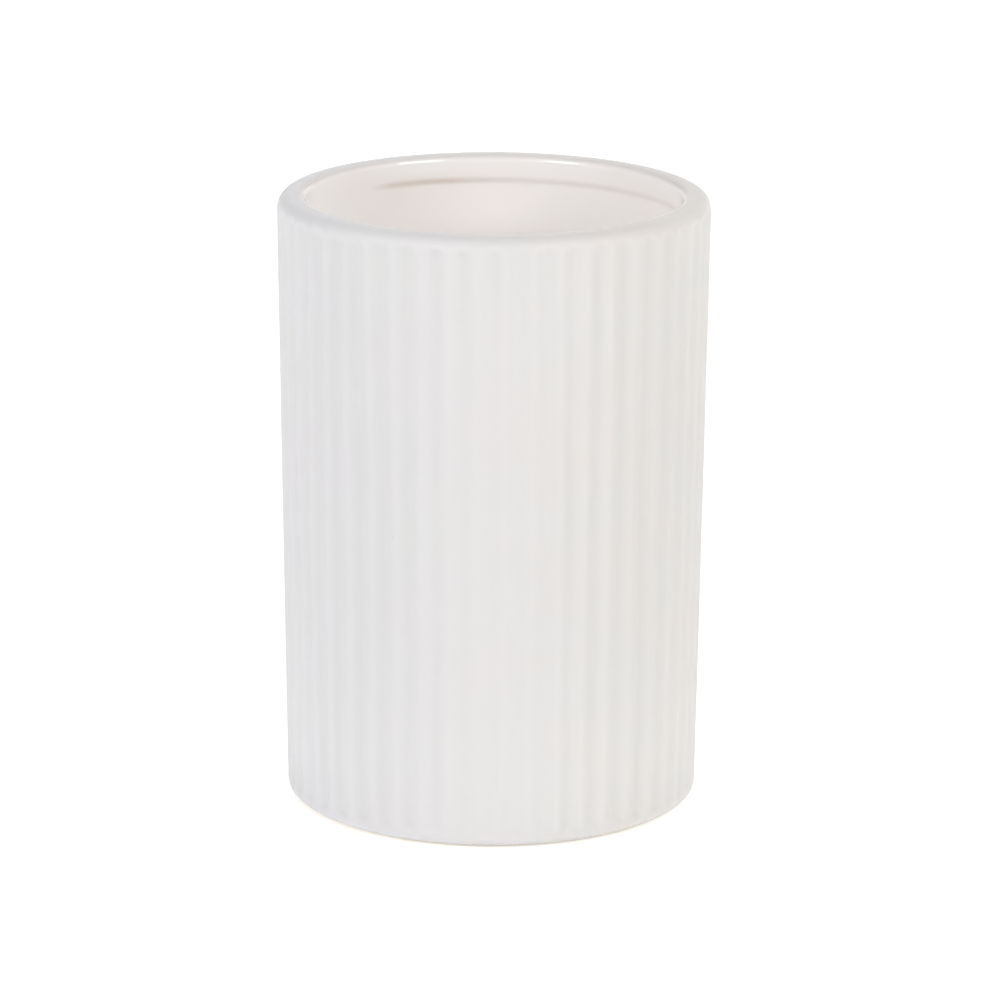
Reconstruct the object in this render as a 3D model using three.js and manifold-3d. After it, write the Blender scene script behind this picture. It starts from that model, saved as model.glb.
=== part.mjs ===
// Stoneware tumbler for a washstand: a fluted clay body, a satin glaze outside, a gloss glaze inside and grip pads
// under its foot. Millimetres, +Z up. It stands on Z = 0 with its axis on Z, and a groove faces -Y.

import * as THREE from 'three';
import { mergeVertices } from 'three/addons/utils/BufferGeometryUtils.js';
import Module from 'manifold-3d';

const wasm = await Module();
wasm.setup();

// Vessel
const height = 105; // standing surface to the crown of the rim
const rimDiameter = 73.4; // over the shoulder of the rim
const baseDiameter = 70.4; // over the rib crests, carried down to the foot
const wallThickness = 4.45; // rib crest to bore, both glazes included
const floorThickness = 7; // base recess to the floor inside
const floorFillet = 6; // where the bore meets the floor

// Rim, with a lip that stands in from the bore
const lipOverhang = 0.35; // bore to mouth
const lipDepth = 4.8; // crown to the crease under the lip
const shoulderRound = 2.4; // outer edge of the rim
const lipRound = 1.2; // inner edge of the rim

// Flutes, scooped grooves between rounded ribs
const fluteCount = 48;
const fluteDepth = 0.6; // rib crest to groove
const fluteRunOut = 2; // length over which a groove dies away at each end
const headMargin = 1.2; // crown to the upper end of the grooves
const footMargin = 1.2; // foot ring to the lower end of the grooves

// Glazes
const glazeThickness = 0.4;
const bareFoot = 0.1; // height of the clay left bare above the foot ring
const glazeBond = 0.02; // clearance between a glaze and the clay or the other glaze

// Foot and pads
const footRound = 1.6; // outer edge of the foot ring
const footRingWidth = 7;
const recessDepth = 1.5; // foot ring up to the recess of the base
const padCount = 4;
const padDiameter = 9;
const padThickness = 2;
const padEdge = 0.4; // bevel round the standing face
const padMargin = 1.2; // pad to the side of the recess
const adhesiveFilm = 0.05; // clearance between a pad and the base

// Facets
const glazeFluteSteps = 6; // facets across a flute where it shows
const clayFluteSteps = 4; // facets across a flute under the glaze
const boreSegments = 48;
const padSegments = 20;
const showArcSteps = 3; // facets along a rounded edge where it shows
const clayArcSteps = 2; // facets along a rounded edge under the glaze
const footArcSteps = 1; // facets from the glaze line to the top of the rounded foot
const cutOvershoot = 2; // how far a cutting form runs past the surface that it opens

// Heights and radii that follow
const footZ = padThickness + adhesiveFilm - recessDepth;
const recessZ = footZ + recessDepth;
const floorZ = recessZ + floorThickness;
const rimRadius = rimDiameter / 2;
const baseRadius = baseDiameter / 2;
const shoulderZ = height - shoulderRound;
const creaseZ = height - lipDepth;
const boreHead = crestRadius(creaseZ) - wallThickness; // radius of the bore at the crease
const mouthRadius = boreHead - lipOverhang;
const landRadius = mouthRadius + lipRound; // inner edge of the rim's crown, where the two glazes meet
const recessRadius = baseRadius - footRingWidth;
const grooveHeadZ = height - headMargin;
const grooveFootZ = footZ + footMargin;
const glazeLineAngle = Math.asin(bareFoot / footRound - 1); // on the rounded edge of the foot

// Radius over the rib crests: a straight, slightly flared wall from the foot to the shoulder
function crestRadius(z) {
  return THREE.MathUtils.mapLinear(z, footZ, shoulderZ, baseRadius, rimRadius);
}

// How deep the grooves are at a height: full along the wall, dying away towards the rim and the foot
function grooveDepth(z) {
  const { smoothstep } = THREE.MathUtils;
  const fromFoot = smoothstep(z, grooveFootZ, grooveFootZ + fluteRunOut);
  const toHead = 1 - smoothstep(z, grooveHeadZ - fluteRunOut, grooveHeadZ);
  return fluteDepth * fromFoot * toHead;
}

// Points of an arc in the half-section, from one angle to another
function arc(centreRadius, centreZ, radius, fromAngle, toAngle, steps) {
  const curve = new THREE.EllipseCurve(
    centreRadius, centreZ, radius, radius, fromAngle, toAngle, toAngle < fromAngle,
  );
  return curve.getPoints(steps);
}

// Half-section of the outside, from the glaze line on the rounded foot, up the wall and over the shoulder to the axis.
// A positive inset moves it into the clay.
function outsideOutline(inset, arcSteps) {
  const footCentre = baseRadius - inset - footRound;
  const shoulderCentre = rimRadius - shoulderRound;
  const wallHeights = [grooveFootZ + fluteRunOut, grooveHeadZ - fluteRunOut];
  return [
    ...arc(footCentre, footZ + footRound, footRound, glazeLineAngle, 0, footArcSteps),
    ...wallHeights.map((z) => new THREE.Vector2(crestRadius(z) - inset, z)),
    ...arc(shoulderCentre, shoulderZ, shoulderRound - inset, 0, Math.PI / 2, arcSteps),
    new THREE.Vector2(0, height - inset),
  ];
}

// Half-section of the clay blank: the foot ring, then the outside
function clayOutline(inset) {
  return [
    new THREE.Vector2(0, footZ),
    new THREE.Vector2(baseRadius - inset - footRound, footZ),
    ...outsideOutline(inset, clayArcSteps),
  ];
}

// Half-section of the hollow, from the axis at the floor, up the bore, under the lip and round it to the inner edge of
// the crown. A positive inset moves it into the clay.
function insideOutline(inset) {
  const boreFoot = crestRadius(floorZ + floorFillet) - wallThickness;
  const rise = inset * Math.tan(Math.PI / 8); // of a corner between the upright wall and a slope of 45 degrees
  return [
    new THREE.Vector2(0, floorZ - inset),
    ...arc(boreFoot - floorFillet, floorZ + floorFillet, floorFillet + inset, -Math.PI / 2, 0, showArcSteps),
    new THREE.Vector2(boreHead + inset, creaseZ + rise),
    new THREE.Vector2(mouthRadius + inset, creaseZ + lipOverhang + rise),
    ...arc(landRadius, height - lipRound, lipRound - inset, Math.PI, Math.PI / 2, showArcSteps),
  ];
}

// Turns a half-section about Z, its seam towards -Y
function revolve(outline, segments) {
  return new THREE.LatheGeometry(outline, segments).rotateX(Math.PI / 2);
}

// Scoops the grooves out of a revolved wall by drawing its points in towards the axis
function carveFlutes(geometry) {
  const position = geometry.attributes.position;
  const point = new THREE.Vector3();
  for (let i = 0; i < position.count; i += 1) {
    point.fromBufferAttribute(position, i);
    const radius = Math.hypot(point.x, point.y);
    const turn = Math.atan2(point.x, -point.y);
    const scoop = grooveDepth(point.z) * (1 + Math.cos(fluteCount * turn)) / 2;
    const drawn = radius > scoop ? (radius - scoop) / radius : 1;
    position.setXYZ(i, point.x * drawn, point.y * drawn, point.z);
  }
  return geometry;
}

// Closes a revolved geometry: shared corners are merged and faces that shrink to a line at the axis are dropped
function closed(geometry) {
  geometry.deleteAttribute('normal');
  geometry.deleteAttribute('uv');
  const merged = mergeVertices(geometry);
  const corners = merged.index.array;
  const kept = [];
  for (let i = 0; i < corners.length; i += 3) {
    const [a, b, c] = corners.slice(i, i + 3);
    if (a !== b && b !== c && c !== a) kept.push(a, b, c);
  }
  merged.setIndex(kept);
  return merged;
}

function toSolid(geometry) {
  const { attributes, index } = closed(geometry);
  const vertProperties = new Float32Array(attributes.position.array);
  const triVerts = new Uint32Array(index.array);
  return new wasm.Manifold(new wasm.Mesh({ numProp: 3, vertProperties, triVerts }));
}

function toGeometry(solid) {
  const { vertProperties, triVerts } = solid.getMesh();
  const geometry = new THREE.BufferGeometry();
  geometry.setAttribute('position', new THREE.BufferAttribute(new Float32Array(vertProperties), 3));
  geometry.setIndex(new THREE.BufferAttribute(new Uint32Array(triVerts), 1));
  geometry.computeVertexNormals();
  return geometry;
}

// A solid fluted blank, turned from a half-section that starts and ends on the axis
function flutedBlank(outline, fluteSteps) {
  return toSolid(carveFlutes(revolve(outline, fluteCount * fluteSteps)));
}

// A plain round form between two heights, to cut with
function roundCutter(radius, fromZ, toZ, segments) {
  const cylinder = new THREE.CylinderGeometry(radius, radius, toZ - fromZ, segments);
  cylinder.rotateX(Math.PI / 2);
  cylinder.translate(0, 0, (fromZ + toZ) / 2);
  return toSolid(cylinder);
}

// Clay: the fluted blank, hollowed by the bore under its lip and recessed in the base
function makeBody() {
  const inset = glazeThickness + glazeBond;
  const bore = [
    ...insideOutline(inset),
    new THREE.Vector2(landRadius, height + cutOvershoot),
    new THREE.Vector2(0, height + cutOvershoot),
  ];
  const hollow = toSolid(revolve(bore, boreSegments));
  const recess = roundCutter(recessRadius, footZ - cutOvershoot, recessZ, boreSegments);
  const blank = flutedBlank(clayOutline(inset), clayFluteSteps);
  return toGeometry(blank.subtract(hollow).subtract(recess));
}

// Satin glaze: a skin on the fluted wall and the crown of the rim, wiped off just above the foot ring
function makeOuterGlaze() {
  const coatOutline = [new THREE.Vector2(0, footZ + bareFoot), ...outsideOutline(0, showArcSteps)];
  const coat = flutedBlank(coatOutline, glazeFluteSteps);
  const clay = flutedBlank(clayOutline(glazeThickness), clayFluteSteps);
  const mouth = roundCutter(landRadius, shoulderZ, height + cutOvershoot, boreSegments);
  return toGeometry(coat.subtract(clay).subtract(mouth));
}

// Gloss glaze: a skin over the floor, the bore and the lip, up to the inner edge of the crown
function makeInnerGlaze() {
  const claySide = insideOutline(glazeThickness);
  const wetSide = insideOutline(0);
  const meet = landRadius - glazeBond;
  claySide.at(-1).x = meet;
  wetSide.at(-1).x = meet;
  return closed(revolve([...claySide, ...wetSide.reverse()], boreSegments));
}

// Grip pad: a soft disc with a bevelled standing face
function makePad() {
  const radius = padDiameter / 2;
  const outline = [
    new THREE.Vector2(0, 0),
    new THREE.Vector2(radius - padEdge, 0),
    new THREE.Vector2(radius, padEdge),
    new THREE.Vector2(radius, padThickness),
    new THREE.Vector2(0, padThickness),
  ];
  return closed(revolve(outline, padSegments));
}

function named(name, geometry, finish) {
  const mesh = new THREE.Mesh(geometry, new THREE.MeshStandardMaterial({ metalness: 0, ...finish }));
  mesh.name = name;
  return mesh;
}

const tumbler = new THREE.Group();
tumbler.add(named('stoneware_body', makeBody(), { color: '#d8cfc0', roughness: 0.9 }));
tumbler.add(named('outer_glaze', makeOuterGlaze(), { color: '#e8e7e5', roughness: 0.5 }));
tumbler.add(named('inner_glaze', makeInnerGlaze(), { color: '#ebe7e2', roughness: 0.12 }));

const padCircle = recessRadius - padMargin - padDiameter / 2;
for (let i = 0; i < padCount; i += 1) {
  const turn = 2 * Math.PI * (i + 0.5) / padCount;
  const pad = named(`grip_pad_${i + 1}`, makePad(), { color: '#dfe3e4', roughness: 0.35 });
  pad.position.set(padCircle * Math.cos(turn), padCircle * Math.sin(turn), 0);
  tumbler.add(pad);
}

export default tumbler;
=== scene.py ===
# Stoneware tumbler for a washstand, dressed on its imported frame: fluted satin white outside, gloss lip and bore,
# bare foot, clear grip pads. Metres, +Z up, a groove faces the camera at -Y.
from math import acos, asin, atan2, cos, degrees, exp, hypot, pi, radians, sin

import bmesh
import bpy
from mathutils import Matrix, Vector, noise


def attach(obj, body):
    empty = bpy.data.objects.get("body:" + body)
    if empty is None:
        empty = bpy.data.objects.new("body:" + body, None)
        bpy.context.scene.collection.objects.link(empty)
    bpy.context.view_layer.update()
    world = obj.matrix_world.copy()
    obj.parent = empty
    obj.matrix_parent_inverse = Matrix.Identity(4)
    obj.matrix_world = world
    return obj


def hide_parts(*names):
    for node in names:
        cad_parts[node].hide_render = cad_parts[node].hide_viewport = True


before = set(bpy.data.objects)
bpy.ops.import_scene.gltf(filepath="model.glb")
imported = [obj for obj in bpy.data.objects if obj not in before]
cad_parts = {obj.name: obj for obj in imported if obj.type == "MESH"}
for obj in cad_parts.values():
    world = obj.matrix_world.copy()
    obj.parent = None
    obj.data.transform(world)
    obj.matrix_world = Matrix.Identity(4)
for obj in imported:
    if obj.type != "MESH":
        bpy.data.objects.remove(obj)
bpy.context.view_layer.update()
mm = 0.001
print("frame loaded:", len(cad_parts), "solids")


# the turned shape that all the coats share, in mm
vessel = dict(
    crown=104.999, foot=0.55,       # a hair under the CAD's 105
    baseRadius=35.2, rimRadius=36.7,
    shoulderRound=2.4,              # outer edge of the rim
    lipRound=1.2,                   # inner edge of the rim
    mouthRadius=31.865, landRadius=33.065,
    crease=100.1,                   # under the lip
    wall=4.6, floor=9.05, floorFillet=6.0,
    footRound=1.6, bareFoot=0.1,    # glaze is wiped off this high above the foot ring
    glaze=0.4, bond=0.02,
    meet=0.002,                     # the two coats fuse on the crown
    hiddenRings=[40, 70],           # heights that are enough where coat and clay meet
)
shoulderZ = vessel["crown"] - vessel["shoulderRound"]
weld = 1e-7                         # what meets closer than this after a turn is merged, m
sharpEdge = radians(38)             # edges that turn more than this stay crisp


def crestRadius(z):                 # over the rib crests
    climb = (z - vessel["foot"]) / (shoulderZ - vessel["foot"])
    return vessel["baseRadius"] + climb * (vessel["rimRadius"] - vessel["baseRadius"])


def easeIn(low, high, x):           # 0 below low, 1 above high, soft between
    t = min(max((x - low) / (high - low), 0), 1)
    return t * t * (3 - 2 * t)


def frange(low, high, count):       # evenly spaced, low left out, high kept
    return [low + (high - low) * (i + 1) / count for i in range(count)]


# Half-sections are drawn like a pencil line in the XZ plane, in mm: strokes and bends from a tip, then one full turn
def startLine(r, z):
    bm = bmesh.new()
    return bm, bm.verts.new((r * mm, 0, z * mm))


def stroke(bm, tip, r, z):
    tip = bmesh.ops.extrude_vert_indiv(bm, verts=[tip])["verts"][0]
    tip.co = (r * mm, 0, z * mm)
    return tip


def bend(bm, tip, r, z, angle, steps):      # round (r, z), by degrees, anticlockwise with Z up
    return bmesh.ops.spin(bm, geom=[tip], cent=(r * mm, 0, z * mm), axis=(0, -1, 0),
                          angle=radians(angle), steps=steps)["geom_last"][0]


def turnRound(bm, steps):           # a quarter turn, then mirrored twice, which is far quicker than one long spin
    bmesh.ops.spin(bm, geom=bm.verts[:] + bm.edges[:], cent=(0, 0, 0), axis=(0, 0, 1), angle=pi / 2,
                   steps=steps // 4)
    for axis in "XY":
        bmesh.ops.mirror(bm, geom=bm.verts[:] + bm.edges[:] + bm.faces[:], matrix=Matrix(), merge_dist=weld,
                         axis=axis)
    bmesh.ops.remove_doubles(bm, verts=bm.verts, dist=weld)
    bmesh.ops.recalc_face_normals(bm, faces=bm.faces)


def finishPiece(bm, name, replaced, material):
    for face in bm.faces:
        face.smooth = True
    for edge in bm.edges:
        edge.smooth = edge.calc_face_angle(0) < sharpEdge
    mesh = bpy.data.meshes.new(name)
    bm.to_mesh(mesh)
    bm.free()
    mesh.materials.append(material)
    piece = bpy.data.objects.new(name, mesh)
    bpy.context.scene.collection.objects.link(piece)
    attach(piece, "root")
    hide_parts(replaced)
    print(name, "has", sum(len(p.vertices) - 2 for p in mesh.polygons), "triangles")


# Flutes: rounded ribs with scooped grooves between, cast in a mould and softened by the glaze
flutes = dict(
    count=48, depth=0.6, runOut=2.0, head=103.85, foot=1.75,
    reach=3.0,              # what lies further in than this from the crests stays round, mm
    crispFrom=84.0, crispTo=99.0,       # the coat runs thin towards the upper ends, which stay clear
    shade=0.4, shadeHead=0.1,             # how dark the grooves are painted as shade, and how much more at the upper ends
    unevenDepth=0.22,       # share by which some grooves are shallower
    unevenStep=1.37, unevenRow=4.1, unevenLength=60.0,      # where each groove reads the noise
    softened=0.5,           # share lost down the front, where the coat lies thicker
    softReach=12.0,         # that far round to each side, degrees
    wander=0.10,            # how far a groove strays sideways, in shares of its width
    wanderRound=6.0,        # how often that changes round the wall
    wanderLength=38.0,      # and along it, mm
    skinWave=0.05,          # the coat's own unevenness, mm
    skinWaveLength=9.0,
)


def crispAt(z):             # 0 on the wall, 1 at the upper ends
    return easeIn(flutes["crispFrom"], flutes["crispTo"], z)


def grooveAt(turn, z):      # 0 on a crest, up to 1 in a groove
    count, often = flutes["count"], flutes["wanderRound"]
    stray = noise.noise(Vector((often * cos(turn), often * sin(turn), z / flutes["wanderLength"])))
    phase = count * turn + 2 * pi * flutes["wander"] * stray
    which = round(phase / (2 * pi)) % count
    spot = Vector((which * flutes["unevenStep"], flutes["unevenRow"], z / flutes["unevenLength"]))
    shallower = flutes["unevenDepth"] * abs(noise.noise(spot))
    middle = degrees(turn) / flutes["softReach"]
    softer = flutes["softened"] * exp(-middle * middle) * (1 - crispAt(z))
    ends = easeIn(flutes["foot"], flutes["foot"] + flutes["runOut"], z)
    ends *= 1 - easeIn(flutes["head"] - flutes["runOut"], flutes["head"], z)
    return ends * (1 - shallower) * (1 - softer) * (1 + cos(phase)) / 2


def carveFlutes(bm):
    groove = bm.verts.layers.float.new("groove")        # the glaze reads it, for painted shade in the grooves
    for vert in bm.verts:
        x, y, z = vert.co
        r = hypot(x, y)
        if r < (crestRadius(z / mm) - flutes["reach"]) * mm:        # the bore and the base
            continue
        scoop = grooveAt(atan2(x, -y), z / mm)
        wave = noise.noise(vert.co / (flutes["skinWaveLength"] * mm)) * 0.5 + 0.5
        vert[groove] = scoop * (flutes["shade"] + flutes["shadeHead"] * crispAt(z / mm))
        vert.co.xy *= 1 - mm * (flutes["depth"] * scoop + flutes["skinWave"] * wave) / r


# One function adds a node: settings are its properties, inputs are values or the sockets that feed it
def addNode(tree, kind, settings=None, inputs=None):
    made = tree.nodes.new(kind)
    for key, value in (settings or {}).items():
        setattr(made, key, value)
    for key, value in (inputs or {}).items():
        if isinstance(value, bpy.types.NodeSocket):
            tree.links.new(value, made.inputs[key])
        else:
            made.inputs[key].default_value = value
    return made


def linear(hexCode):
    parts = [int(hexCode[i:i + 2], 16) / 255 for i in (1, 3, 5)]
    return [p / 12.92 if p <= 0.04045 else ((p + 0.055) / 1.055) ** 2.4 for p in parts] + [1]


def newMaterial(name):
    material = bpy.data.materials.new(name)
    material.use_nodes = True
    tree = material.node_tree
    shader = tree.nodes["Principled BSDF"]
    place = addNode(tree, "ShaderNodeTexCoord").outputs["Object"]
    return material, tree, shader, place


# Satin white glaze: zinc-matted, so it scatters softly with a broad dull sheen. It is tinted cooler on the left
# and warmer on the right. It is faintly cloudy, painted darker in the grooves as shade, most at their upper ends, and
# has a few iron specks and a faint orange peel.
satinLook = dict(
    # shaded is a painted shade colour, laid into the grooves by their groove attribute
    cool="#cbc9cc", warm="#cdc8c4", thin="#cacbca", shaded="#c7c7c5", speck="#a89a88",
    sideTint=32.0, clouds=14.0, grain=0.6, peel=1.6, speckSpacing=7.0, speckSize=0.16,     # mm
    cloudRoughness=0.55, cloudRange=(0.35, 0.65), cloudShare=0.5,
    speckShare=0.8, speckless=0.6,      # how dark a speck is, and the share of places with none
    sheenRange=(0.3, 0.7), roughness=(0.54, 0.64), ior=1.5,
    bump=0.02, grainShare=0.35,
)


def makeSatinGlaze():
    look = satinLook
    material, tree, shader, place = newMaterial("satin white glaze on stoneware")
    clouds = addNode(tree, "ShaderNodeTexNoise", None,
                     {"Vector": place, "Scale": 1 / (look["clouds"] * mm), "Detail": 3.0,
                      "Roughness": look["cloudRoughness"]})
    grain = addNode(tree, "ShaderNodeTexNoise", None,
                    {"Vector": place, "Scale": 1 / (look["grain"] * mm), "Detail": 2.0})
    peel = addNode(tree, "ShaderNodeTexNoise", None,
                   {"Vector": place, "Scale": 1 / (look["peel"] * mm), "Detail": 1.0})
    groove = addNode(tree, "ShaderNodeAttribute", {"attribute_name": "groove"})
    low, high = look["cloudRange"]
    cloudMask = addNode(tree, "ShaderNodeMapRange", None,
                        {"Value": clouds.outputs["Fac"], "From Min": low, "From Max": high,
                         "To Max": look["cloudShare"]})
    across = addNode(tree, "ShaderNodeSeparateXYZ", None, {0: place})
    # tinted cooler on the left and warmer on the right, blended across this width
    sideTint = addNode(tree, "ShaderNodeMapRange", {"interpolation_type": "SMOOTHSTEP"},
                    {"Value": across.outputs["X"], "From Min": -look["sideTint"] * mm, "From Max": look["sideTint"] * mm})
    fired = addNode(tree, "ShaderNodeMix", {"data_type": "RGBA"},
                    {0: sideTint.outputs[0], 6: linear(look["cool"]), 7: linear(look["warm"])})
    mottled = addNode(tree, "ShaderNodeMix", {"data_type": "RGBA"},
                      {0: cloudMask.outputs[0], 6: fired.outputs[2], 7: linear(look["thin"])})
    # painted shade: darker in the grooves, more at their upper ends
    shaded = addNode(tree, "ShaderNodeMix", {"data_type": "RGBA"},
                     {0: groove.outputs["Fac"], 6: mottled.outputs[2], 7: linear(look["shaded"])})
    cells = addNode(tree, "ShaderNodeTexVoronoi", None,
                    {"Vector": place, "Scale": 1 / (look["speckSpacing"] * mm)})
    dot = addNode(tree, "ShaderNodeMapRange", None,
                  {"Value": cells.outputs["Distance"], "From Min": 0.0,
                   "From Max": look["speckSize"] / look["speckSpacing"], "To Min": look["speckShare"], "To Max": 0.0})
    some = addNode(tree, "ShaderNodeSeparateColor", None, {0: cells.outputs["Color"]})
    few = addNode(tree, "ShaderNodeMath", {"operation": "GREATER_THAN"},
                  {0: some.outputs[0], 1: look["speckless"]})
    specks = addNode(tree, "ShaderNodeMath", {"operation": "MULTIPLY"}, {0: dot.outputs[0], 1: few.outputs[0]})
    specked = addNode(tree, "ShaderNodeMix", {"data_type": "RGBA"},
                      {0: specks.outputs[0], 6: shaded.outputs[2], 7: linear(look["speck"])})
    low, high = look["sheenRange"]
    glossy, dull = look["roughness"]
    sheen = addNode(tree, "ShaderNodeMapRange", None,
                    {"Value": clouds.outputs["Fac"], "From Min": low, "From Max": high,
                     "To Min": glossy, "To Max": dull})
    relief = addNode(tree, "ShaderNodeMath", {"operation": "MULTIPLY_ADD"},
                     {0: grain.outputs["Fac"], 1: look["grainShare"], 2: peel.outputs["Fac"]})
    skin = addNode(tree, "ShaderNodeBump", None,
                   {"Height": relief.outputs[0], "Strength": 1.0, "Distance": look["bump"] * mm})
    for socket, source in {"Base Color": specked.outputs[2], "Roughness": sheen.outputs[0],
                           "Normal": skin.outputs[0]}.items():
        tree.links.new(source, shader.inputs[socket])
    shader.inputs["IOR"].default_value = look["ior"]
    return material


# Gloss white glaze: a clear fired glass over warm white slip, so lights mirror in it sharply and it stays warm
# where light bounces about inside the cup. The crease under the lip is painted a darker tan as shade, darkest on one
# side, and the edge of the rim is painted darker as shade and made duller.
glossLook = dict(
    # shaded is painted shade for the crease under the lip; thin is painted shade for the rim's edge
    coat="#eeebe9", warm="#efeae8", shaded="#cbb5a0", thin="#d2cecc",
    clouds=18.0, ripple=5.0,                    # mm
    cloudRange=(0.35, 0.65),
    shineRange=(0.3, 0.7), roughness=(0.04, 0.07), ior=1.52,
    thinRoughness=0.3, brinkPower=6.0,          # only the very edge is duller
    bump=0.012,
)


def makeGlossGlaze():
    look = glossLook
    material, tree, shader, place = newMaterial("gloss warm white glaze")
    clouds = addNode(tree, "ShaderNodeTexNoise", None,
                     {"Vector": place, "Scale": 1 / (look["clouds"] * mm), "Detail": 2.0})
    ripple = addNode(tree, "ShaderNodeTexNoise", None,
                     {"Vector": place, "Scale": 1 / (look["ripple"] * mm), "Detail": 1.0})
    low, high = look["cloudRange"]
    cloudMask = addNode(tree, "ShaderNodeMapRange", None,
                        {"Value": clouds.outputs["Fac"], "From Min": low, "From Max": high})
    slip = addNode(tree, "ShaderNodeMix", {"data_type": "RGBA"},
                   {0: cloudMask.outputs[0], 6: linear(look["coat"]), 7: linear(look["warm"])})
    crease = addNode(tree, "ShaderNodeAttribute", {"attribute_name": "crease"})
    edge = addNode(tree, "ShaderNodeAttribute", {"attribute_name": "edge"})
    # painted shade: darker over the edge of the rim, which is also made duller below
    rimShaded = addNode(tree, "ShaderNodeMix", {"data_type": "RGBA"},
                      {0: edge.outputs["Fac"], 6: slip.outputs[2], 7: linear(look["thin"])})
    # painted shade: tan in the crease under the lip, darkest on one side
    creaseShaded = addNode(tree, "ShaderNodeMix", {"data_type": "RGBA"},
                  {0: crease.outputs["Fac"], 6: rimShaded.outputs[2], 7: linear(look["shaded"])})
    low, high = look["shineRange"]
    glossy, dull = look["roughness"]
    shine = addNode(tree, "ShaderNodeMapRange", None,
                    {"Value": clouds.outputs["Fac"], "From Min": low, "From Max": high,
                     "To Min": glossy, "To Max": dull})
    brink = addNode(tree, "ShaderNodeMath", {"operation": "POWER"}, {0: edge.outputs["Fac"], 1: look["brinkPower"]})
    dulled = addNode(tree, "ShaderNodeMix", None,
                     {0: brink.outputs[0], 2: shine.outputs[0], 3: look["thinRoughness"]})
    skin = addNode(tree, "ShaderNodeBump", None,
                   {"Height": ripple.outputs["Fac"], "Strength": 1.0, "Distance": look["bump"] * mm})
    for socket, source in {"Base Color": creaseShaded.outputs[2], "Roughness": dulled.outputs[0],
                           "Normal": skin.outputs[0]}.items():
        tree.links.new(source, shader.inputs[socket])
    shader.inputs["IOR"].default_value = look["ior"]
    return material


# Bare fired stoneware: dry, buff and gritty, with sand grains and iron spots, where the foot was wiped clean
clayLook = dict(
    buff="#d9d0c1", sandy="#cbbfac", iron="#8d7862",
    patches=4.0, grit=0.45, ironSpacing=2.6, ironSize=0.22,     # mm
    ironShare=0.7, bump=0.08, roughness=0.86, ior=1.5,
)


def makeBareClay():
    look = clayLook
    material, tree, shader, place = newMaterial("bare fired stoneware")
    patches = addNode(tree, "ShaderNodeTexNoise", None,
                      {"Vector": place, "Scale": 1 / (look["patches"] * mm), "Detail": 4.0})
    grit = addNode(tree, "ShaderNodeTexNoise", None,
                   {"Vector": place, "Scale": 1 / (look["grit"] * mm), "Detail": 2.0})
    buff = addNode(tree, "ShaderNodeMix", {"data_type": "RGBA"},
                   {0: patches.outputs["Fac"], 6: linear(look["buff"]), 7: linear(look["sandy"])})
    cells = addNode(tree, "ShaderNodeTexVoronoi", None,
                    {"Vector": place, "Scale": 1 / (look["ironSpacing"] * mm)})
    spots = addNode(tree, "ShaderNodeMapRange", None,
                    {"Value": cells.outputs["Distance"], "From Min": 0.0,
                     "From Max": look["ironSize"] / look["ironSpacing"], "To Min": look["ironShare"], "To Max": 0.0})
    spotted = addNode(tree, "ShaderNodeMix", {"data_type": "RGBA"},
                      {0: spots.outputs[0], 6: buff.outputs[2], 7: linear(look["iron"])})
    skin = addNode(tree, "ShaderNodeBump", None,
                   {"Height": grit.outputs["Fac"], "Strength": 1.0, "Distance": look["bump"] * mm})
    tree.links.new(spotted.outputs[2], shader.inputs["Base Color"])
    tree.links.new(skin.outputs[0], shader.inputs["Normal"])
    shader.inputs["Roughness"].default_value = look["roughness"]
    shader.inputs["IOR"].default_value = look["ior"]
    return material


# Clear silicone: soft and slightly milky, a dull shine with fine moulding texture
padLook = dict(
    clear="#edefee", milky="#e0e3e2",
    clouds=2.5, texture=0.3,                    # mm
    bump=0.02, roughness=0.32, ior=1.41, clearness=0.55,
)


def makeSilicone():
    look = padLook
    material, tree, shader, place = newMaterial("clear moulded silicone")
    clouds = addNode(tree, "ShaderNodeTexNoise", None,
                     {"Vector": place, "Scale": 1 / (look["clouds"] * mm), "Detail": 2.0})
    texture = addNode(tree, "ShaderNodeTexNoise", None,
                      {"Vector": place, "Scale": 1 / (look["texture"] * mm), "Detail": 1.0})
    milky = addNode(tree, "ShaderNodeMix", {"data_type": "RGBA"},
                    {0: clouds.outputs["Fac"], 6: linear(look["clear"]), 7: linear(look["milky"])})
    skin = addNode(tree, "ShaderNodeBump", None,
                   {"Height": texture.outputs["Fac"], "Strength": 1.0, "Distance": look["bump"] * mm})
    tree.links.new(milky.outputs[2], shader.inputs["Base Color"])
    tree.links.new(skin.outputs[0], shader.inputs["Normal"])
    shader.inputs["Roughness"].default_value = look["roughness"]
    shader.inputs["IOR"].default_value = look["ior"]
    shader.inputs["Transmission Weight"].default_value = look["clearness"]
    return material


satinGlaze = makeSatinGlaze()
glossGlaze = makeGlossGlaze()
bareClay = makeBareClay()
silicone = makeSilicone()
print("materials made")


# Outside coat, from a rounded bead at the glaze line, up the flutes and over the rim to its inner edge
outside = dict(
    steps=768, beadSteps=6, footSteps=6, shoulderSteps=14, landSteps=3,
    endRing=0.4, wallRings=30, headRing=0.3,        # rings lie closer where the grooves die away
    clearFoot=0.2, clearHead=0.3,                   # and this far past that, mm
    hiddenEnd=1.5, hiddenSteps=6, hiddenFoot=0.6, hiddenFootSteps=2,        # against the clay
)
footCentre = crestRadius(vessel["foot"] + vessel["footRound"]) - vessel["footRound"]
footCentreZ = vessel["foot"] + vessel["footRound"]
shoulderCentre = vessel["rimRadius"] - vessel["shoulderRound"]
glazeLine = degrees(asin(vessel["bareFoot"] / vessel["footRound"] - 1))     # on the rounded foot
lineCos, lineSin = cos(radians(glazeLine)), sin(radians(glazeLine))


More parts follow.
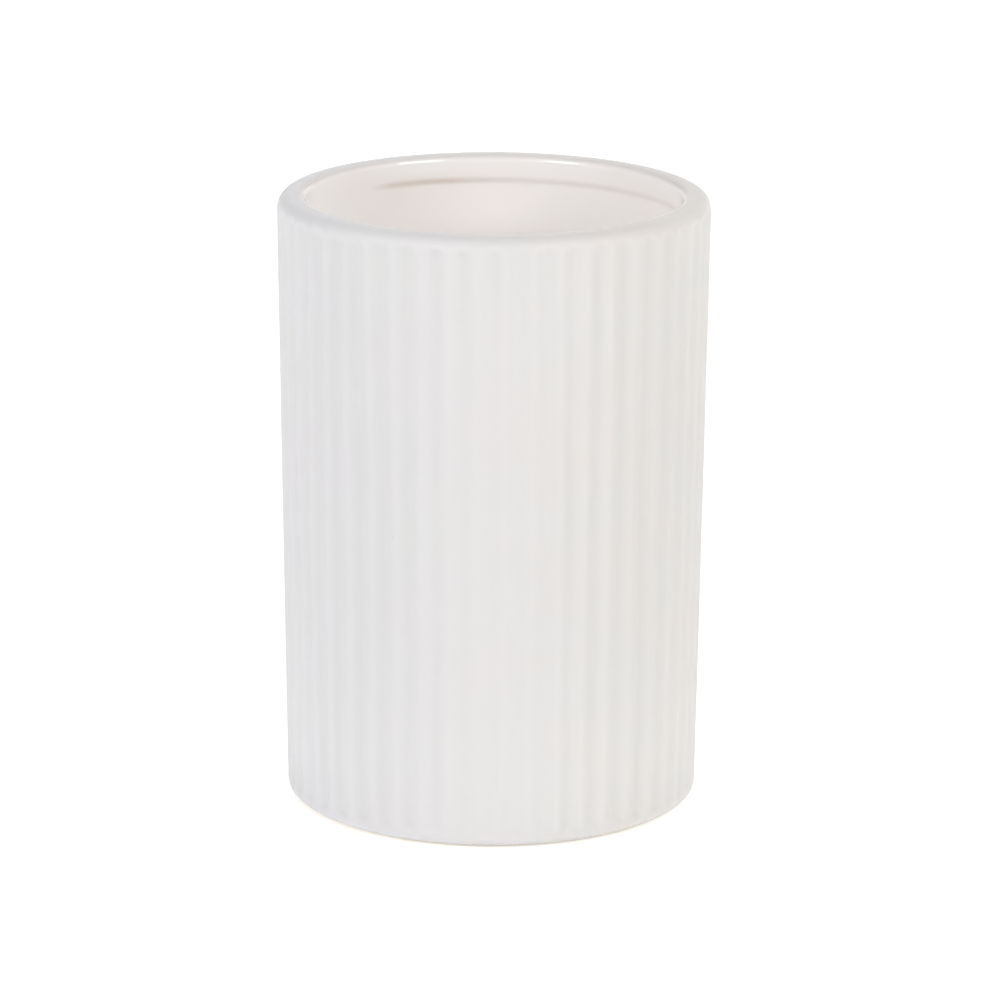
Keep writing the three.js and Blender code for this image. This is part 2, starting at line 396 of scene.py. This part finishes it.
def makeOutside():
    thick = vessel["glaze"]
    middle = vessel["footRound"] - thick / 2
    innerFoot = vessel["footRound"] - thick
    # bead first: half a turn round the coat's edge, from the clay to the outside
    bm, first = startLine(footCentre + innerFoot * lineCos, footCentreZ + innerFoot * lineSin)
    tip = bend(bm, first, footCentre + middle * lineCos, footCentreZ + middle * lineSin, 180, outside["beadSteps"])
    tip = bend(bm, tip, footCentre, footCentreZ, -glazeLine, outside["footSteps"])
    footEnd = flutes["foot"] + flutes["runOut"] + outside["clearFoot"]
    headStart = flutes["head"] - flutes["runOut"] - outside["clearHead"]
    heights = frange(footCentreZ, footEnd, round((footEnd - footCentreZ) / outside["endRing"]))
    heights += frange(footEnd, headStart, outside["wallRings"])
    heights += frange(headStart, shoulderZ, round((shoulderZ - headStart) / outside["headRing"]))
    for z in heights:
        tip = stroke(bm, tip, crestRadius(z), z)
    tip = bend(bm, tip, shoulderCentre, shoulderZ, 90, outside["shoulderSteps"])
    for r in frange(shoulderCentre, vessel["landRadius"], outside["landSteps"]):
        tip = stroke(bm, tip, r, vessel["crown"])
    # back down against the clay
    tip = stroke(bm, tip, vessel["landRadius"], vessel["crown"] - thick)
    tip = stroke(bm, tip, shoulderCentre, vessel["crown"] - thick)
    tip = bend(bm, tip, shoulderCentre, shoulderZ, -90, outside["hiddenSteps"])
    end = outside["hiddenEnd"]
    for z in [headStart + end, headStart, *reversed(vessel["hiddenRings"]), footEnd, footEnd - end]:
        tip = stroke(bm, tip, crestRadius(z) - thick, z)
    tip = stroke(bm, tip, footCentre + innerFoot, footCentreZ)
    tip = bend(bm, tip, footCentre, footCentreZ, glazeLine * outside["hiddenFoot"], outside["hiddenFootSteps"])
    bm.edges.new((tip, first))
    turnRound(bm, outside["steps"])
    carveFlutes(bm)
    finishPiece(bm, "fluted_coat", "outer_glaze", satinGlaze)


# Inside coat, from the floor, up the bore, under the soft bead of the lip and over it to the crown
inside = dict(
    steps=512, floorRings=6, filletSteps=14, boreRings=16, beadSteps=10, lipSteps=14,
    bead=4.0, creaseFillet=3.1,                 # the two bends of the soft crease, mm
    shadeHeight=0.7, shadeShare=0.08,             # painted shade in it, this tall in mm and this dark all round
    darkTurn=-22, darkReach=18, darkShare=0.38,    # darker still on one side; degrees from the back, to the right
    rimShadeFrom=103.9, rimShadeTo=104.85,              # the rim's edge is painted darker as shade, and duller, between these heights, mm
)
boreFoot = crestRadius(vessel["floor"] + vessel["floorFillet"]) - vessel["wall"]
boreHead = crestRadius(vessel["crease"]) - vessel["wall"]
floorTurn, floorTurnZ = boreFoot - vessel["floorFillet"], vessel["floor"] + vessel["floorFillet"]
lipZ = vessel["crown"] - vessel["lipRound"]
beadTurn = acos(1 - (boreHead - vessel["mouthRadius"]) / (inside["bead"] + inside["creaseFillet"]))
beadZ = vessel["crease"] + (inside["bead"] + inside["creaseFillet"] / 2) * sin(beadTurn)
boreTopZ = beadZ - (inside["bead"] + inside["creaseFillet"]) * sin(beadTurn)


def boreRadius(z):
    return boreFoot + (boreHead - boreFoot) * (z - floorTurnZ) / (boreTopZ - floorTurnZ)


# The crease was sponged full on one side, so that the bore runs into the lip there; turn from the back, to the right
sponged = dict(
    turn=-88, reach=55, soft=14, share=0.95,
    low=72.0, high=97.0,                        # the filling thickens between these heights, mm
    nearer=1.0, further=1.5,                    # only what lies this close to the bore is moved
)


def spongeFill(x, y):               # 0 where the crease is open, up to 1 where it is full
    astray = abs((degrees(atan2(x, y)) - sponged["turn"] + 180) % 360 - 180)
    return sponged["share"] * (1 - easeIn(sponged["reach"] - sponged["soft"], sponged["reach"], astray))


def spongeCrease(bm, insets):       # insets say how far into the clay the sides of the piece lie
    for vert in bm.verts:
        x, y, z = vert.co
        r = hypot(x, y)
        beside = boreFoot - sponged["nearer"] < r / mm < boreHead + sponged["further"]
        if not beside or not sponged["low"] < z / mm < beadZ:
            continue
        inset = min(insets, key=lambda depth: abs(r / mm - depth - boreRadius(z / mm)))
        lip = (vessel["mouthRadius"] + inset) * mm
        fill = spongeFill(x, y) * easeIn(sponged["low"], sponged["high"], z / mm)
        vert.co.xy *= (lip + (r - lip) * (1 - fill)) / r


def drawBore(bm, tip, inset):       # up from the floor's edge; inset moves it into the clay
    fillet, bead, rings = inside["creaseFillet"] + inset, inside["bead"] - inset, inside["boreRings"]
    tip = bend(bm, tip, floorTurn, floorTurnZ, 90, inside["filletSteps"])
    for i in range(rings):
        climb = (i + 1) / rings
        tip = stroke(bm, tip, boreFoot + inset + (boreHead - boreFoot) * climb,
                     floorTurnZ + (boreTopZ - floorTurnZ) * climb)
    tip = bend(bm, tip, boreHead + inset - fillet, boreTopZ, degrees(beadTurn), inside["beadSteps"])
    tip = bend(bm, tip, vessel["mouthRadius"] + inset + bead, beadZ, -degrees(beadTurn), inside["beadSteps"])
    tip = stroke(bm, tip, vessel["mouthRadius"] + inset, (beadZ + lipZ) / 2)
    tip = stroke(bm, tip, vessel["mouthRadius"] + inset, lipZ)
    return bend(bm, tip, vessel["landRadius"], lipZ, -90, inside["lipSteps"])


def makeInside():
    thick, meet = vessel["glaze"], vessel["meet"]
    bm, tip = startLine(0, vessel["floor"])
    for r in frange(0, floorTurn, inside["floorRings"]):
        tip = stroke(bm, tip, r, vessel["floor"])
    tip = drawBore(bm, tip, 0)
    tip.co.x -= meet * mm
    back = bm.verts.new((0, 0, (vessel["floor"] - thick) * mm))         # the side against the clay
    back = drawBore(bm, stroke(bm, back, floorTurn, vessel["floor"] - thick), thick)
    back.co.x -= meet * mm
    bm.edges.new((tip, back))
    turnRound(bm, inside["steps"])
    spongeCrease(bm, [0, thick])
    crease = bm.verts.layers.float.new("crease")        # the glaze reads these: painted shade in the crease, and painted shade and dullness over the rim's edge
    edge = bm.verts.layers.float.new("edge")
    for vert in bm.verts:
        x, y, z = vert.co
        away = (z / mm - (beadZ + boreTopZ) / 2) / inside["shadeHeight"]
        aside = (degrees(atan2(x, y)) - inside["darkTurn"]) / inside["darkReach"]
        shade = inside["shadeShare"] + inside["darkShare"] * exp(-aside * aside)
        vert[crease] = shade * exp(-away * away) * (1 - spongeFill(x, y))
        vert[edge] = easeIn(inside["rimShadeFrom"], inside["rimShadeTo"], z / mm)
    finishPiece(bm, "gloss_liner", "inner_glaze", glossGlaze)


# Clay body: hidden under its coats, bare at the foot ring and in the recess of the base
clay = dict(
    steps=384, recessRings=5, filletSteps=6, edgeSteps=4, footRings=4, footSteps=6, hiddenFootSteps=3, hiddenSteps=6,
    ringWidth=7.0, recessDepth=1.5, recessFillet=1.0, ringEdge=0.5,     # mm
    hiddenFoot=1.8, hiddenHead=1.2,             # one more ring where the grooves die away
)


def makeClay():
    inset = vessel["glaze"] + vessel["bond"]
    ringInner = vessel["baseRadius"] - clay["ringWidth"]
    recessZ = vessel["foot"] + clay["recessDepth"]
    fillet, edge = clay["recessFillet"], clay["ringEdge"]
    bm, tip = startLine(0, recessZ)
    for r in frange(0, ringInner - fillet, clay["recessRings"]):
        tip = stroke(bm, tip, r, recessZ)
    tip = bend(bm, tip, ringInner - fillet, recessZ - fillet, -90, clay["filletSteps"])
    tip = stroke(bm, tip, ringInner, vessel["foot"] + edge)
    tip = bend(bm, tip, ringInner + edge, vessel["foot"] + edge, 90, clay["edgeSteps"])
    for r in frange(ringInner + edge, footCentre, clay["footRings"]):
        tip = stroke(bm, tip, r, vessel["foot"])
    tip = bend(bm, tip, footCentre, footCentreZ, 90 + glazeLine, clay["footSteps"])
    under = vessel["footRound"] - inset
    tip = stroke(bm, tip, footCentre + under * lineCos, footCentreZ + under * lineSin)
    tip = bend(bm, tip, footCentre, footCentreZ, -glazeLine, clay["hiddenFootSteps"])
    footEnd = flutes["foot"] + flutes["runOut"]
    headStart = flutes["head"] - flutes["runOut"]
    for z in [footEnd - clay["hiddenFoot"], footEnd, *vessel["hiddenRings"], headStart,
              headStart + clay["hiddenHead"]]:
        tip = stroke(bm, tip, crestRadius(z) - inset, z)
    tip = stroke(bm, tip, vessel["rimRadius"] - inset, shoulderZ)
    tip = bend(bm, tip, shoulderCentre, shoulderZ, 90, clay["hiddenSteps"])
    hollow = bm.verts.new((0, 0, (vessel["floor"] - inset) * mm))
    hollow = drawBore(bm, stroke(bm, hollow, floorTurn, vessel["floor"] - inset), inset)
    bm.edges.new((tip, hollow))
    turnRound(bm, clay["steps"])
    spongeCrease(bm, [inset])
    carveFlutes(bm)
    finishPiece(bm, "clay_body", "stoneware_body", bareClay)


# Grip pads: soft moulded dots with a rounded standing edge and a thin flange against the base
pads = dict(
    count=4, circle=22.5, radius=4.5, thickness=2.0, edge=0.5, flange=0.35, waist=0.25,     # mm
    steps=48, faceRings=4, edgeSteps=6, waistSteps=4,
)


def makePad(number):
    turn = 2 * pi * (number - 0.5) / pads["count"]
    centre = (pads["circle"] * mm * cos(turn), pads["circle"] * mm * sin(turn), 0)
    radius, edge, top = pads["radius"], pads["edge"], pads["thickness"]
    waist = radius - pads["waist"]
    waistZ = top - pads["flange"] - pads["waist"]
    bm, tip = startLine(0, 0)
    for r in frange(0, waist - edge, pads["faceRings"]):
        tip = stroke(bm, tip, r, 0)
    tip = bend(bm, tip, waist - edge, edge, 90, pads["edgeSteps"])
    tip = stroke(bm, tip, waist, waistZ)
    tip = bend(bm, tip, radius, waistZ, -90, pads["waistSteps"])
    tip = stroke(bm, tip, radius, top)
    tip = stroke(bm, tip, 0, top)
    turnRound(bm, pads["steps"])
    bmesh.ops.translate(bm, verts=bm.verts, vec=centre)
    finishPiece(bm, f"pad_{number}", f"grip_pad_{number}", silicone)


makeOutside()
makeInside()
makeClay()
for number in range(1, pads["count"] + 1):
    makePad(number)


# Stage: a white light table, so the floor glows and the wall is lit from below as much as from above
table = dict(
    reach=3.0, colour="#f6f6f6", roughness=0.9,
    rings=[(0.030, 0.0), (0.0335, 0.28), (0.0355, 0.28), (0.039, 0.22),     # radius in m, glow there
           (0.050, 0.34), (0.13, 0.05), (1.3, 0.5)],
    tilt=(0.05, 1.45, 0.6),         # brighter in front than behind, over this many metres each way
    far=(0.9, 1.6, 0.55),           # and white again behind the lamps, from one radius to another
)


def makeTable():
    bm = bmesh.new()
    bmesh.ops.create_grid(bm, x_segments=1, y_segments=1, size=table["reach"])
    mesh = bpy.data.meshes.new("light_table")
    bm.to_mesh(mesh)
    bm.free()
    floor = bpy.data.objects.new("light_table", mesh)
    bpy.context.scene.collection.objects.link(floor)
    material, tree, shader, place = newMaterial("white acrylic light table")
    shader.inputs["Base Color"].default_value = linear(table["colour"])
    shader.inputs["Roughness"].default_value = table["roughness"]
    shader.inputs["Emission Color"].default_value = (1, 1, 1, 1)
    away = addNode(tree, "ShaderNodeVectorMath", {"operation": "LENGTH"}, {0: place}).outputs["Value"]
    total = 0.0
    inner, dim = table["rings"][0]
    for outer, bright in table["rings"][1:]:
        ring = addNode(tree, "ShaderNodeMapRange", {"interpolation_type": "SMOOTHSTEP"},
                       {"Value": away, "From Min": inner, "From Max": outer, "To Min": 0.0, "To Max": bright - dim})
        total = addNode(tree, "ShaderNodeMath", {"operation": "ADD"}, {0: ring.outputs[0], 1: total}).outputs[0]
        inner, dim = outer, bright
    depth = addNode(tree, "ShaderNodeSeparateXYZ", None, {0: place}).outputs["Y"]
    near, front, behind = table["tilt"]
    tilt = addNode(tree, "ShaderNodeMapRange", None,
                   {"Value": depth, "From Min": -near, "From Max": near, "To Min": front, "To Max": behind})
    tilted = addNode(tree, "ShaderNodeMath", {"operation": "MULTIPLY"}, {0: total, 1: tilt.outputs[0]})
    start, end, white = table["far"]
    far = addNode(tree, "ShaderNodeMapRange", {"interpolation_type": "SMOOTHSTEP"},
                  {"Value": away, "From Min": start, "From Max": end, "To Min": 0.0, "To Max": white})
    glow = addNode(tree, "ShaderNodeMath", {"operation": "ADD"}, {0: tilted.outputs[0], 1: far.outputs[0]})
    tree.links.new(glow.outputs[0], shader.inputs["Emission Strength"])
    mesh.materials.append(material)


# Soft studio light: dim walls, a dark ceiling and large soft boxes all round. The gloss lip mirrors the two keys,
# and a low backdrop at its ends.
studio = dict(
    walls=0.2, fadeFrom=0.45, fadeTo=0.75,      # the walls darken between these, where 1 is straight up
    away=1.2,                                   # from the rim to each soft box, m
)
# turn is from the front, to the right, and climb is from the floor, in degrees; size in m, power in W
softBoxes = dict(
    keyLeft=dict(turn=-44, climb=22, size=(0.46, 0.46), power=5.85, mirrored=True),
    keyRight=dict(turn=51, climb=28, size=(0.64, 0.5), power=8.3, mirrored=True),
    front=dict(turn=0, climb=52, size=(1.0, 0.6), power=1.4),
    sideLeft=dict(turn=-85, climb=25, size=(0.7, 0.8), power=3.4),
    back=dict(turn=180, climb=20, size=(1.2, 0.6), power=9.2),
    backLeft=dict(turn=-135, climb=30, size=(0.8, 0.8), power=1.2),
    backRight=dict(turn=135, climb=30, size=(0.8, 0.8), power=4.9),
    backdrop=dict(turn=180, climb=4, size=(1.6, 0.26), power=1.2, mirrored=True),
    overhead=dict(turn=0, climb=88, size=(1.0, 1.0), power=3.4),
)


def makeStudio():
    world = bpy.data.worlds.new("studio")
    bpy.context.scene.world = world
    world.use_nodes = True
    tree = world.node_tree
    facing = addNode(tree, "ShaderNodeTexCoord").outputs["Generated"]
    climb = addNode(tree, "ShaderNodeSeparateXYZ", None, {0: facing}).outputs["Z"]
    glow = addNode(tree, "ShaderNodeMapRange", {"interpolation_type": "SMOOTHSTEP"},
                   {"Value": climb, "From Min": studio["fadeFrom"], "From Max": studio["fadeTo"],
                    "To Min": studio["walls"], "To Max": 0.0})
    back = tree.nodes["Background"]
    back.inputs["Color"].default_value = (1, 1, 1, 1)
    tree.links.new(glow.outputs[0], back.inputs["Strength"])


def makeSoftBoxes():
    rim = Vector((0, 0, vessel["crown"] * mm))
    for name, box in softBoxes.items():
        lamp = bpy.data.lights.new(name, "AREA")
        lamp.shape = "RECTANGLE"
        lamp.size, lamp.size_y = box["size"]
        lamp.energy = box["power"]
        holder = bpy.data.objects.new(name, lamp)
        holder.visible_glossy = box.get("mirrored", False)      # the others do not show in the gloss
        bpy.context.scene.collection.objects.link(holder)
        turn, climb = radians(box["turn"]), radians(box["climb"])
        towards = Vector((sin(turn) * cos(climb), -cos(turn) * cos(climb), sin(climb)))
        holder.matrix_world = (Matrix.Translation(rim + towards * studio["away"])
                               @ towards.to_track_quat("Z", "Y").to_matrix().to_4x4())


# Camera: a long lens from a little above, aimed at the tumbler's own mid-height; mm and degrees
viewing = dict(
    aim=52.8, distance=942.0, azimuth=0.8, elevation=15.02, roll=0.30,
    lens=198.14, sensor=36, shift=(0.0073, -0.0085),
    clip=(0.05, 20),                # m
)


def makeCamera():
    lens = bpy.data.cameras.new("camera")
    lens.sensor_width = viewing["sensor"]
    lens.lens = viewing["lens"]
    lens.shift_x, lens.shift_y = viewing["shift"]
    lens.clip_start, lens.clip_end = viewing["clip"]
    camera = bpy.data.objects.new("camera", lens)
    bpy.context.scene.collection.objects.link(camera)
    up = radians(viewing["elevation"])
    away = viewing["distance"] * mm
    eye = Vector((0, -away * cos(up), viewing["aim"] * mm + away * sin(up)))
    camera.matrix_world = (Matrix.Rotation(radians(viewing["azimuth"]), 4, "Z") @ Matrix.Translation(eye)
                           @ Matrix.Rotation(pi / 2 - up, 4, "X") @ Matrix.Rotation(radians(viewing["roll"]), 4, "Z"))
    bpy.context.scene.camera = camera


makeTable()
makeStudio()
makeSoftBoxes()
makeCamera()
bpy.context.scene.view_settings.view_transform = "Standard"
bpy.context.scene.view_settings.look = "None"
print("table, light and camera set")
